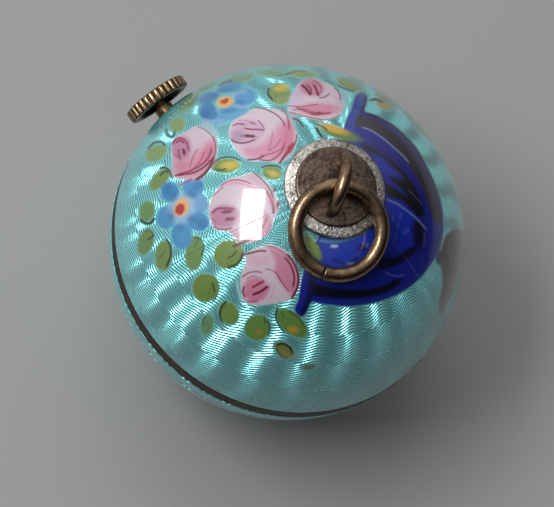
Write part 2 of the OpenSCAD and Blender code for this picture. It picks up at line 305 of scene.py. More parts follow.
def rose_one(w):
    w.fill([(-9.1, 7.3), (-8.8, 8.2), (-7.9, 8.7), (-7.2, 9.1), (-6.4, 8.9), (-5.7, 8.2), (-5.5, 7.2),
            (-5.9, 6.0), (-6.6, 5.1), (-7.4, 4.9), (-8.9, 5.1), (-9.0, 6.2)], pale)
    w.fill([(-6.9, 9.2), (-6.3, 9.45), (-5.6, 8.8), (-5.4, 7.9), (-5.7, 7.9), (-6.2, 8.7)], (190, 170, 195),
           0.15, 0.6)
    w.fill([(-8.9, 6.4), (-7.9, 6.6), (-7.0, 7.2), (-6.2, 7.9), (-5.7, 7.6), (-5.7, 6.5), (-6.3, 5.6),
            (-7.3, 5.0), (-8.8, 5.3)], pink, 0.5, 0.85)
    w.dab(-6.2, 6.8, 1.1, 0.4, 66, (204, 112, 150), 0.3, 0.8)
    w.dab(-8.3, 7.35, 0.95, 0.75, 78, mauve, 0.2, 0.85)
    w.stroke([(-9.0, 7.6), (-8.85, 7.95), (-8.45, 8.15), (-8.0, 7.95), (-7.8, 7.5), (-7.75, 7.1)], 0.17,
             (168, 56, 112))
    w.stroke([(-8.75, 7.8), (-8.4, 7.95), (-8.1, 7.75)], 0.14, crimson)
    w.stroke([(-8.55, 7.3), (-8.5, 6.9), (-8.4, 6.6)], 0.13, (140, 30, 84))
    w.dab(-8.12, 7.08, 0.28, 0.13, 115, wine, 0.06)
    w.stroke([(-8.95, 6.95), (-8.6, 6.7), (-8.3, 6.35)], 0.09, (178, 80, 128))
    w.stroke([(-7.0, 7.35), (-7.35, 6.8), (-7.55, 6.2), (-7.7, 5.8)], 0.08, (158, 62, 112))
    w.stroke([(-6.5, 7.1), (-6.8, 6.4), (-7.3, 5.8), (-7.9, 5.45)], 0.1, (170, 50, 104))
    w.stroke([(-5.9, 7.4), (-6.2, 6.6), (-6.9, 5.95), (-7.8, 5.5), (-8.6, 5.3)], 0.16, crimson)
    w.stroke([(-5.95, 6.5), (-6.5, 5.9), (-7.3, 5.45), (-8.1, 5.3), (-8.85, 5.2)], 0.17, (128, 22, 72))
    w.stroke([(-7.05, 9.02), (-6.5, 8.85), (-6.05, 8.45), (-5.85, 8.2)], 0.07, grey_line)
    w.stroke([(-5.85, 8.3), (-5.62, 7.6), (-5.72, 6.7), (-6.1, 5.9)], 0.12, (140, 56, 96))
    w.stroke([(-5.75, 6.7), (-6.1, 5.85), (-6.6, 5.25), (-7.2, 4.85)], 0.25, wine)
    w.stroke([(-7.5, 4.95), (-8.0, 4.65), (-8.6, 4.4)], 0.12, (160, 66, 120))


def rose_two(w):
    w.fill([(-4.6, 8.6), (-4.2, 9.5), (-3.4, 10.0), (-2.5, 10.5), (-1.5, 10.5), (-0.5, 10.3), (0.1, 9.6),
            (0.6, 8.8), (0.8, 8.1), (0.5, 7.2), (-0.1, 6.5), (-0.6, 6.2), (-1.6, 6.4), (-2.6, 6.3),
            (-3.3, 6.5), (-4.1, 7.3)], pale)
    w.fill([(-3.4, 7.4), (-2.2, 7.6), (-1.3, 8.3), (-0.4, 9.4), (0.2, 9.3), (0.6, 8.4), (0.3, 7.1),
            (-0.6, 6.4), (-2.2, 6.5), (-3.1, 6.7)], (212, 130, 164), 0.45, 0.85)
    w.dab(0.1, 8.4, 1.5, 0.42, 82, (208, 110, 146), 0.3, 0.75)
    w.dab(-3.1, 8.6, 1.35, 0.95, 12, (204, 168, 196), 0.2, 0.85)
    w.dab(-3.9, 8.3, 0.6, 0.45, 20, (172, 134, 172), 0.25, 0.7)
    w.stroke([(-4.3, 9.1), (-3.9, 9.28), (-3.3, 9.2)], 0.13, (150, 62, 116))
    w.stroke([(-3.9, 9.5), (-3.3, 9.55), (-2.7, 9.35)], 0.07, (196, 128, 168))
    w.stroke([(-2.3, 9.55), (-1.95, 9.15), (-1.8, 8.75)], 0.09, (132, 46, 90))
    w.stroke([(-3.4, 8.95), (-2.9, 8.83), (-2.3, 8.83), (-1.85, 8.75)], 0.13, crimson)
    w.stroke([(-2.9, 9.3), (-2.7, 9.35), (-2.5, 9.25)], 0.16, (190, 96, 148))
    w.dab(-3.0, 8.3, 0.55, 0.13, -4, wine, 0.07)
    w.stroke([(-4.4, 8.1), (-4.2, 7.88), (-3.6, 7.75), (-3.0, 7.85), (-2.5, 8.05)], 0.13, (120, 44, 84))
    w.stroke([(-1.1, 8.7), (-1.25, 8.0), (-1.45, 7.2)], 0.07, (170, 88, 130))
    w.stroke([(-0.5, 8.1), (-0.9, 7.5), (-1.5, 7.1)], 0.09, (176, 72, 120))
    w.stroke([(-0.1, 8.0), (-0.5, 7.3), (-1.2, 6.95), (-2.2, 6.7)], 0.1, (184, 60, 104))
    w.stroke([(-2.75, 10.6), (-1.8, 10.45), (-0.95, 10.05), (-0.4, 9.55), (-0.18, 9.05)], 0.1, grey_line)
    w.stroke([(-0.6, 10.4), (-0.1, 10.1), (0.12, 9.4), (0.15, 8.8)], 0.12, (164, 50, 88))
    w.stroke([(-3.2, 6.42), (-2.4, 6.5), (-1.8, 6.75)], 0.14, (132, 30, 74))
    w.stroke([(-2.2, 6.45), (-1.3, 6.4), (-0.6, 6.9), (-0.15, 7.6)], 0.12, crimson)
    w.stroke([(-0.65, 6.1), (-0.3, 6.6), (0.05, 7.1), (0.15, 7.5)], 0.2, wine)
    w.dab(0.28, 7.35, 0.5, 0.22, 60, (158, 14, 44), 0.12)
    w.stroke([(0.78, 8.5), (0.72, 8.0), (0.5, 7.5)], 0.13, (142, 30, 66))


def rose_three(w):
    w.fill([(0.2, 10.7), (0.45, 11.6), (1.0, 12.5), (2.1, 12.8), (3.3, 12.4), (4.1, 11.8), (4.4, 10.9),
            (4.1, 10.0), (3.1, 9.6), (2.2, 9.6), (1.0, 9.9), (0.1, 10.3)], pale)
    w.dab(4.3, 10.9, 0.9, 0.35, 80, (196, 178, 200), 0.25, 0.6)
    w.dab(0.7, 11.2, 1.1, 0.45, 70, (208, 184, 212), 0.3, 0.8)
    w.dab(1.95, 12.15, 0.95, 0.68, -12, (206, 122, 158), 0.2, 0.9)
    w.dab(2.5, 10.4, 1.6, 0.5, 0, (212, 122, 152), 0.25, 0.85)
    w.stroke([(1.15, 12.3), (1.5, 12.05), (1.85, 11.55)], 0.22, wine)
    w.stroke([(1.55, 12.35), (1.85, 12.05), (1.9, 11.7)], 0.14, (136, 26, 66))
    w.stroke([(2.1, 12.35), (2.3, 11.95), (2.45, 11.5)], 0.2, (128, 20, 60))
    w.stroke([(2.0, 12.72), (2.5, 12.4), (2.7, 11.95), (2.5, 11.55)], 0.09, (168, 52, 96))
    w.stroke([(3.35, 11.65), (2.95, 11.38), (2.5, 11.3)], 0.1, (150, 40, 84))
    w.stroke([(3.7, 12.15), (4.1, 11.7), (4.2, 11.1)], 0.09, (104, 52, 82))
    w.stroke([(-0.1, 10.72), (0.9, 10.62), (1.8, 10.72), (2.5, 10.82)], 0.08, (140, 50, 90))
    w.stroke([(0.75, 10.55), (1.5, 10.25), (2.4, 10.02), (3.5, 10.15)], 0.14, (168, 26, 66))
    w.dab(2.35, 10.08, 0.5, 0.13, 3, (150, 14, 48), 0.08)
    w.stroke([(0.15, 10.2), (1.0, 9.95), (2.2, 9.68), (3.3, 9.62), (4.2, 9.95)], 0.1, (166, 70, 108))
    w.stroke([(0.4, 10.35), (1.3, 10.45), (2.1, 10.2)], 0.07, (150, 50, 90))


def rose_four(w):
    w.fill([(-6.15, 2.2), (-6.0, 3.4), (-5.4, 4.3), (-4.6, 4.9), (-3.6, 5.2), (-2.6, 5.4), (-1.7, 4.8),
            (-1.0, 3.9), (-0.65, 2.8), (-0.9, 2.0), (-1.2, 1.3), (-1.6, 0.7), (-2.6, 0.0), (-3.6, -0.1),
            (-4.6, 0.7), (-5.7, 1.0)], pale)
    w.fill([(-3.2, 5.3), (-2.4, 5.2), (-1.6, 4.5), (-1.0, 3.5), (-0.8, 2.5), (-1.3, 2.6), (-1.8, 3.7),
            (-2.6, 4.5)], (206, 164, 184), 0.2, 0.7)
    w.dab(-4.9, 2.0, 1.15, 0.9, 8, mauve, 0.25, 0.9)
    w.fill([(-2.9, 1.7), (-2.4, 2.6), (-1.7, 2.4), (-1.2, 1.4), (-1.6, 0.6), (-2.6, 0.1), (-3.5, 0.1),
            (-3.0, 0.8)], (206, 126, 160), 0.2, 0.85)
    w.fill([(-4.4, 0.9), (-3.2, 0.7), (-2.4, 0.4), (-3.2, 0.0), (-4.1, 0.2)], (214, 150, 178), 0.25, 0.6)
    w.stroke([(-5.8, 3.6), (-5.4, 4.0), (-5.0, 4.3)], 0.07, (96, 84, 100))
    w.stroke([(-5.3, 4.3), (-4.8, 4.68), (-4.1, 4.86), (-3.3, 4.74), (-2.75, 4.5)], 0.11, (158, 66, 104))
    w.stroke([(-4.9, 4.42), (-4.1, 4.62), (-3.3, 4.5), (-2.5, 4.15)], 0.2, (232, 158, 180))
    w.stroke([(-2.75, 5.5), (-2.2, 5.1), (-1.7, 4.6), (-1.3, 4.0), (-1.1, 3.4)], 0.12, (96, 34, 58))
    w.stroke([(-1.75, 4.1), (-1.35, 3.5), (-1.12, 2.8), (-1.08, 2.2)], 0.2, crimson)
    w.stroke([(-1.5, 3.9), (-1.2, 3.2), (-1.0, 2.6)], 0.1, (196, 84, 124))
    w.dab(-0.98, 4.08, 0.19, 0.16, 60, (92, 26, 52), 0.1)
    w.dab(-0.68, 2.9, 0.36, 0.14, 85, (124, 34, 66), 0.1)
    w.stroke([(-5.95, 2.2), (-5.5, 2.6), (-4.9, 2.62), (-4.1, 2.6)], 0.18, (150, 36, 96))
    w.dab(-4.72, 2.36, 0.5, 0.15, 6, (118, 14, 66), 0.07)
    w.dab(-4.5, 1.78, 0.4, 0.16, 8, wine, 0.07)
    w.stroke([(-5.85, 1.2), (-5.3, 0.98), (-4.7, 0.98), (-4.3, 1.12)], 0.12, (136, 40, 88))
    w.stroke([(-5.9, 1.9), (-5.7, 1.5), (-5.6, 1.2)], 0.08, (160, 66, 118))
    w.stroke([(-1.55, 2.0), (-1.95, 1.1), (-2.5, 0.5), (-3.2, 0.1)], 0.14, (150, 32, 84))
    w.stroke([(-2.6, 0.45), (-3.2, 0.05), (-3.7, -0.15), (-4.3, -0.38)], 0.24, wine)
    w.stroke([(-1.2, 1.35), (-1.5, 0.75), (-2.1, 0.2), (-2.8, -0.12)], 0.1, (170, 76, 116))


def rose_five(w):
    w.fill([(-3.7, -3.4), (-3.6, -2.6), (-3.3, -1.6), (-3.2, -0.95), (-2.3, -0.45), (-1.2, -0.25),
            (0.0, -0.8), (0.7, -1.8), (0.98, -2.9), (0.7, -4.0), (0.2, -4.6), (-0.9, -4.85), (-2.3, -5.0),
            (-3.3, -4.75)], pale)
    w.fill([(-1.5, -0.35), (-0.3, -0.9), (0.6, -1.9), (0.9, -3.0), (0.5, -4.2), (-0.2, -3.6), (-0.9, -2.6),
            (-1.0, -1.5)], (208, 124, 156), 0.3, 0.9)
    w.fill([(-3.1, -1.0), (-1.8, -0.9), (-1.3, -1.4), (-1.7, -1.8), (-2.9, -1.8)], (214, 172, 192), 0.3, 0.8)
    w.dab(-2.5, -3.75, 1.0, 0.95, 30, (208, 118, 154), 0.25, 0.9)
    w.stroke([(-3.95, -3.1), (-3.8, -4.0), (-3.35, -4.7), (-2.8, -4.95)], 0.17, (190, 206, 216), 0.1, 0.8)
    w.stroke([(-3.55, -2.8), (-3.05, -2.45), (-2.45, -2.35), (-1.95, -2.45)], 0.11, (160, 62, 108))
    w.stroke([(-3.2, -2.95), (-2.8, -2.72), (-2.4, -2.68)], 0.08, (176, 92, 134))
    w.stroke([(-2.75, -3.6), (-2.25, -3.32), (-1.85, -3.1)], 0.19, (150, 20, 62))
    w.stroke([(-2.7, -4.15), (-2.15, -3.95), (-1.5, -3.5)], 0.22, wine)
    w.stroke([(-3.4, -3.5), (-3.48, -4.0), (-3.3, -4.35)], 0.15, (152, 44, 88))
    w.stroke([(-3.15, -4.7), (-2.7, -4.72), (-2.3, -4.6)], 0.13, (196, 66, 110))
    w.stroke([(-1.3, -3.2), (-1.5, -3.9), (-1.95, -4.4)], 0.12, (214, 136, 168))
    w.stroke([(-1.0, -3.3), (-1.1, -4.0), (-1.5, -4.6)], 0.08, (220, 160, 186))
    w.stroke([(-1.75, -2.15), (-1.3, -2.2), (-0.9, -2.45)], 0.08, (150, 70, 110))
    w.stroke([(-0.95, -2.3), (-0.6, -2.9), (-0.2, -3.5), (0.15, -3.9)], 0.1, (142, 46, 86))
    w.stroke([(-3.65, -1.02), (-3.0, -0.92), (-2.2, -0.72), (-1.65, -0.75)], 0.17, (120, 16, 52))
    w.stroke([(-1.9, -0.25), (-1.1, -0.42), (-0.3, -0.85), (0.3, -1.45)], 0.1, (180, 70, 110))
    w.stroke([(-0.2, -1.2), (0.3, -1.9), (0.55, -2.8), (0.45, -3.6)], 0.16, (128, 18, 56))
    w.stroke([(0.0, -0.95), (0.6, -1.8), (0.88, -2.8), (0.75, -3.7), (0.3, -4.55)], 0.2, (122, 16, 54))


# Forget-me-nots: five blue petals in two blues with lavender lights, a yellow eye and a red heart.
def forget_me_nots(w):
    blue, deep, lavender = (74, 152, 202), (38, 112, 174), (158, 182, 224)
    for s, t, a, b, turn, colour in (
            (-6.2, 11.3, 0.95, 0.5, 18, (62, 140, 190)), (-4.5, 12.1, 1.1, 0.42, 12, (66, 152, 196)),
            (-3.3, 11.4, 0.95, 0.75, 10, (84, 162, 212)), (-4.2, 10.3, 1.2, 0.8, 8, (88, 166, 208)),
            (-5.4, 9.7, 1.0, 0.5, 0, (96, 168, 212)), (-6.2, 10.2, 0.75, 0.75, 60, (56, 132, 186))):
        w.dab(s, t, a, b, turn, colour, 0.18)
    for s, t, a, b, turn in ((-3.65, 11.0, 0.3, 0.16, -10), (-6.4, 10.0, 0.35, 0.4, 0),
                             (-5.9, 11.45, 0.5, 0.15, 25),
                             (-4.9, 12.0, 0.5, 0.12, 10), (-4.6, 10.3, 0.4, 0.1, 10)):
        w.dab(s, t, a, b, turn, deep, 0.2, 0.75)
    for line in ([(-3.2, 11.85), (-3.8, 11.7), (-4.3, 11.4)], [(-5.7, 10.3), (-5.3, 10.55)],
                 [(-6.6, 9.6), (-5.8, 9.5), (-5.0, 9.55)], [(-4.2, 10.7), (-3.6, 10.6), (-3.0, 10.7)]):
        w.stroke(line, 0.22, lavender, 0.12, 0.7)
    w.dab(-4.88, 11.0, 0.68, 0.45, 12, (238, 186, 112), 0.14)
    w.dab(-4.9, 11.05, 0.36, 0.2, 24, (188, 66, 18), 0.09)
    for s, t, a, b, turn, colour in (
            (-9.2, 3.9, 0.85, 0.75, 100, (60, 144, 198)), (-7.4, 4.2, 0.95, 0.85, 40, (62, 150, 204)),
            (-6.8, 3.0, 0.8, 0.65, 90, (110, 168, 214)), (-7.0, 1.6, 0.95, 0.8, -20, (60, 148, 204)),
            (-8.3, 0.5, 1.15, 0.85, 90, (68, 154, 204)), (-9.5, 1.9, 0.95, 0.8, 80, (74, 154, 206))):
        w.dab(s, t, a, b, turn, colour, 0.16)
    w.dab(-8.3, 2.6, 1.2, 1.05, 60, (150, 184, 222), 0.35, 0.85)
    for s, t, a, b, turn in ((-8.95, 3.6, 0.4, 0.28, 60), (-7.5, 3.75, 0.4, 0.28, -20),
                             (-7.45, 1.8, 0.4, 0.25, 0),
                             (-8.4, 1.1, 0.25, 0.2, 0), (-9.15, 2.0, 0.25, 0.35, 0),
                             (-7.0, 4.4, 0.5, 0.3, 30),
                             (-6.7, 1.4, 0.4, 0.4, 0), (-9.4, 4.1, 0.35, 0.4, 0)):
        w.dab(s, t, a, b, turn, deep, 0.22, 0.7)
    w.stroke([(-8.15, 4.0), (-8.3, 3.4)], 0.3, (172, 192, 228), 0.14, 0.8)
    w.dab(-8.3, 2.7, 0.78, 0.56, 62, (232, 180, 122), 0.16)
    w.dab(-8.42, 2.55, 0.46, 0.36, 66, (184, 30, 10), 0.09)


# Leaves: single dabs of olive green, each with a dark shadow stroke; some are touched with yellow.
def leaves(w):
    green, olive, dark = (118, 150, 76), (126, 142, 60), (26, 48, 38)
    for s, t, a, b, turn, colour in (
            (-10.3, 6.95, 0.95, 0.62, 30, (132, 166, 100)), (-10.0, 4.9, 1.15, 0.55, 48, (118, 152, 82)),
            (-11.0, 2.4, 0.88, 0.62, 80, (104, 150, 82)), (-11.1, 0.0, 1.15, 0.62, 72, (110, 146, 78)),
            (-9.7, -1.1, 1.25, 0.7, 84, green), (-7.3, -0.9, 1.45, 0.72, 84, (112, 148, 78)),
            (-4.6, -1.0, 1.25, 1.15, 30, (118, 148, 64)), (-6.4, -3.6, 1.15, 1.1, 70, (112, 144, 60)),
            (-4.6, -5.6, 1.0, 0.78, -60, (118, 152, 76)), (-6.3, -6.5, 0.9, 0.55, 76, (98, 150, 96)),
            (-2.35, -6.75, 1.1, 1.0, 60, (106, 148, 74)), (0.35, -6.4, 1.6, 0.82, -42, (104, 146, 70)),
            (-0.2, -8.5, 0.95, 0.58, -30, (122, 138, 62)), (1.75, -9.85, 0.6, 0.26, 4, (84, 122, 86)),
            (-8.6, 9.2, 0.65, 0.6, 40, (132, 164, 96)), (-7.7, 10.9, 1.2, 0.42, 44, (116, 160, 112)),
            (-6.3, 12.2, 0.9, 0.3, 28, (104, 168, 136)), (-3.9, 12.75, 1.5, 0.36, 14, (118, 166, 124)),
            (-0.6, 11.6, 0.95, 0.85, -20, (128, 154, 88)), (-1.1, 13.25, 1.15, 0.3, -3, (124, 172, 120)),
            (1.2, 13.2, 1.3, 0.3, -5, (132, 166, 92)), (4.9, 12.35, 1.15, 0.4, -26, (116, 152, 84)),
            (7.6, 10.85, 0.8, 0.42, -36, (150, 158, 88)), (4.1, 8.5, 1.7, 0.42, -16, (92, 130, 56)),
            (-4.85, 5.95, 1.15, 0.6, 4, (112, 146, 64)), (-1.2, 5.4, 0.85, 0.6, -10, (112, 150, 76)),
            (1.95, -0.35, 1.25, 0.42, -58, (122, 150, 64)), (7.9, 11.3, 1.1, 0.22, -36, (96, 156, 124)),
            (10.4, 9.1, 1.6, 0.24, -46, (104, 164, 134))):
        w.dab(s, t, a, b, turn, colour, 0.14)
    for s, t, a, b, turn, colour in (
            (-0.45, 12.1, 0.62, 0.28, 8, (202, 188, 74)), (-4.5, 6.0, 0.7, 0.33, 6, (206, 184, 66)),
            (-1.1, 5.35, 0.42, 0.24, -20, (210, 182, 72)), (3.6, 8.9, 1.15, 0.28, -18, (216, 168, 54)),
            (0.45, -6.9, 0.42, 0.28, -20, (186, 162, 62)), (-0.1, -8.8, 0.4, 0.25, -30, (150, 138, 64)),
            (7.5, 10.75, 0.3, 0.18, -40, (176, 150, 74)), (-2.2, -7.1, 0.3, 0.35, 60, (142, 146, 66)),
            (0.8, 13.3, 0.5, 0.14, 4, (150, 170, 90)), (4.6, 12.5, 0.5, 0.14, -26, (140, 160, 80))):
        w.dab(s, t, a, b, turn, colour, 0.16)
    for width, colour, line in (
            (0.2, (54, 96, 96), [(-10.95, 7.25), (-10.5, 7.75), (-9.9, 7.85), (-9.55, 7.5)]),
            (0.17, dark, [(-10.0, 5.75), (-9.6, 5.85), (-9.2, 5.5), (-9.05, 5.0)]),
            (0.14, (40, 70, 44), [(-10.0, 5.2), (-9.6, 5.55), (-9.35, 5.45)]),
            (0.24, (24, 62, 52), [(-11.55, 1.75), (-11.1, 1.45), (-10.7, 1.5), (-10.45, 1.85)]),
            (0.08, (60, 100, 70), [(-11.3, 0.8), (-10.8, 0.9), (-10.4, 0.5)]),
            (0.16, (50, 78, 44), [(-10.95, 0.2), (-10.65, 0.35), (-10.5, 0.6)]),
            (0.17, dark, [(-9.55, 0.25), (-9.2, -0.25), (-9.15, -1.1), (-9.5, -2.0)]),
            (0.07, (60, 84, 50), [(-10.15, -1.4), (-9.8, -1.0), (-9.55, -0.7)]),
            (0.12, dark, [(-7.3, 0.35), (-6.75, 0.2), (-6.55, -0.4), (-6.75, -1.1)]),
            (0.24, (66, 92, 56), [(-7.25, -0.35), (-7.0, 0.1)]),
            (0.19, dark, [(-3.5, -0.85), (-3.65, -1.4), (-4.1, -1.85), (-4.7, -2.0)]),
            (0.13, (44, 60, 40), [(-3.95, -0.7), (-4.3, -1.1), (-4.7, -1.3)]),
            (0.56, (40, 50, 32), [(-5.85, -3.3), (-5.7, -3.9)]),
            (0.09, (50, 66, 40), [(-5.5, -4.1), (-5.7, -4.6), (-6.0, -4.8)]),
            (0.1, (60, 76, 44), [(-6.2, -4.15), (-5.95, -3.6)]),
            (0.16, dark, [(-4.75, -4.65), (-5.15, -5.1), (-5.3, -5.8), (-5.05, -6.4)]),
            (0.22, (40, 62, 40), [(-5.0, -5.2), (-4.8, -5.05)]),
            (0.08, (50, 80, 60), [(-6.45, -5.85), (-6.6, -6.3), (-6.5, -6.6)]),
            (0.07, (60, 90, 60), [(-6.3, -6.2), (-6.15, -6.8)]),
            (0.32, (24, 42, 34), [(-1.8, -5.8), (-1.75, -6.4)]),
            (0.12, (36, 62, 42), [(-1.6, -6.1), (-1.35, -6.7), (-1.5, -7.4)]),
            (0.13, (24, 54, 50), [(-0.75, -5.1), (-0.9, -5.9), (-0.65, -6.6), (-0.2, -7.1)]),
            (0.26, (34, 72, 56), [(-0.45, -5.5), (-0.25, -6.0)]),
            (0.1, (44, 76, 48), [(0.1, -5.4), (0.9, -6.0), (1.4, -6.7)]),
            (0.16, dark, [(-0.9, -8.15), (-0.35, -8.0), (0.2, -8.3), (0.4, -8.8)]),
            (0.12, (58, 66, 40), [(-0.85, -8.4), (-0.5, -8.95), (0.0, -9.15)]),
            (0.2, (44, 100, 96), [(-9.5, 8.9), (-9.4, 8.45), (-9.0, 8.25), (-8.8, 8.7)]),
            (0.12, (48, 88, 72), [(-7.95, 10.65), (-7.45, 10.95), (-7.15, 11.4)]),
            (0.1, (70, 120, 100), [(-6.9, 12.0), (-6.3, 12.1), (-5.9, 12.3)]),
            (0.2, (62, 92, 96), [(-5.35, 12.3), (-4.9, 12.5), (-4.3, 12.68)]),
            (0.2, (44, 76, 66), [(-1.45, 12.1), (-1.5, 11.6), (-1.1, 11.1)]),
            (0.14, (60, 90, 60), [(-0.85, 11.6), (-0.95, 11.0)]),
            (0.1, (70, 130, 110), [(-0.9, 13.0), (-0.2, 13.15), (0.3, 13.3)]),
            (0.1, (58, 92, 66), [(-0.1, 13.1), (0.6, 13.4), (1.5, 13.42)]),
            (0.14, (34, 66, 56), [(3.9, 12.35), (4.6, 12.0), (5.3, 11.8)]),
            (0.2, (36, 52, 48), [(6.5, 11.1), (7.0, 11.22), (7.5, 10.98)]),
            (0.08, (70, 110, 84), [(6.8, 11.7), (7.7, 11.25), (8.5, 10.7)]),
            (0.07, (70, 100, 84), [(8.9, 10.55), (9.4, 10.1)]),
            (0.08, (80, 140, 120), [(10.1, 9.2), (10.9, 8.4)]),
            (0.24, (24, 42, 36), [(2.25, 8.95), (2.55, 8.5), (2.75, 8.2)]),
            (0.12, (40, 60, 36), [(1.95, 9.3), (2.6, 9.15), (3.2, 8.75)]),
            (0.2, (24, 50, 60), [(0.4, 9.72), (0.9, 9.5), (1.3, 9.0)]),
            (0.16, (22, 46, 44), [(-5.95, 6.05), (-5.3, 6.55), (-4.4, 6.65), (-3.55, 6.35)]),
            (0.14, (40, 66, 30), [(-5.8, 5.7), (-5.2, 5.62), (-4.8, 5.75)]),
            (0.16, (28, 48, 44), [(-2.1, 5.8), (-1.5, 6.0), (-0.8, 5.95), (-0.4, 5.7)]),
            (0.12, (60, 78, 40), [(-1.85, 5.3), (-1.45, 5.1)])):
        w.stroke(line, width, colour, 0.06)


